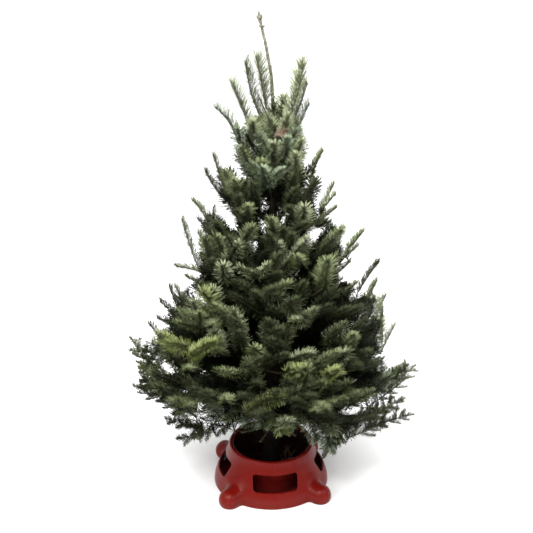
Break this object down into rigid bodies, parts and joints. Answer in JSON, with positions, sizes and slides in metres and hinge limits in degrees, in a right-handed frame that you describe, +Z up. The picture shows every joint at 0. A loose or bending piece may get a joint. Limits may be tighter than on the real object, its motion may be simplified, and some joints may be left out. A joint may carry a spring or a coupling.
{
  "type": "table-top christmas tree",
  "caption": "Young cut fir with tiers of needled boughs and a bare leader, standing in a low round plastic stand with a water bowl, windows and rounded feet.",
  "frame": {"origin": "middle of the stand's flat underside, on what it stands on", "axes": "+Z up the trunk; the stand's windows face -Y (front), +X, +Y and -X, and its feet lie between them"},
  "size_m": [0.5664, 0.5217, 0.9534],
  "materials": {
    "red_plastic": "glossy",
    "bark": "rough",
    "needles": "satin"
  },
  "bodies": {
    "root": {"base_ring": "red_plastic", "bough_hem_1": "bark", "bough_hem_2": "bark", "bough_hem_3": "bark", "bough_hem_4": "bark", "bough_lower_1": "bark", "bough_lower_2": "bark", "bough_lower_3": "bark", "bough_lower_4": "bark", "bough_lower_5": "bark", "bough_waist_1": "bark", "bough_waist_2": "bark", "bough_waist_3": "bark", "bough_waist_4": "bark", "bough_waist_5": "bark", "foliage_crest_1": "needles", "foliage_crest_2": "needles", "foliage_crest_3": "needles", "foliage_crest_4": "needles", "foliage_crown_1": "needles", "foliage_crown_2": "needles", "foliage_crown_3": "needles", "foliage_crown_4": "needles", "foliage_crown_5": "needles", "foliage_hem_1": "needles", "foliage_hem_2": "needles", "foliage_hem_3": "needles", "foliage_hem_4": "needles", "foliage_lower_1": "needles", "foliage_lower_2": "needles", "foliage_lower_3": "needles", "foliage_lower_4": "needles", "foliage_lower_5": "needles", "foliage_middle_1": "needles", "foliage_middle_2": "needles", "foliage_middle_3": "needles", "foliage_middle_4": "needles", "foliage_middle_5": "needles", "foliage_shoulder_1": "needles", "foliage_shoulder_2": "needles", "foliage_shoulder_3": "needles", "foliage_shoulder_4": "needles", "foliage_shoulder_5": "needles", "foliage_spire_1": "needles", "foliage_spire_2": "needles", "foliage_spire_3": "needles", "foliage_spire_4": "needles", "foliage_upper_1": "needles", "foliage_upper_2": "needles", "foliage_upper_3": "needles", "foliage_upper_4": "needles", "foliage_upper_5": "needles", "foliage_waist_1": "needles", "foliage_waist_2": "needles", "foliage_waist_3": "needles", "foliage_waist_4": "needles", "foliage_waist_5": "needles", "stand_skirt": "red_plastic", "trunk": "bark", "water_bowl": "red_plastic"}
  },
  "joints": []
}
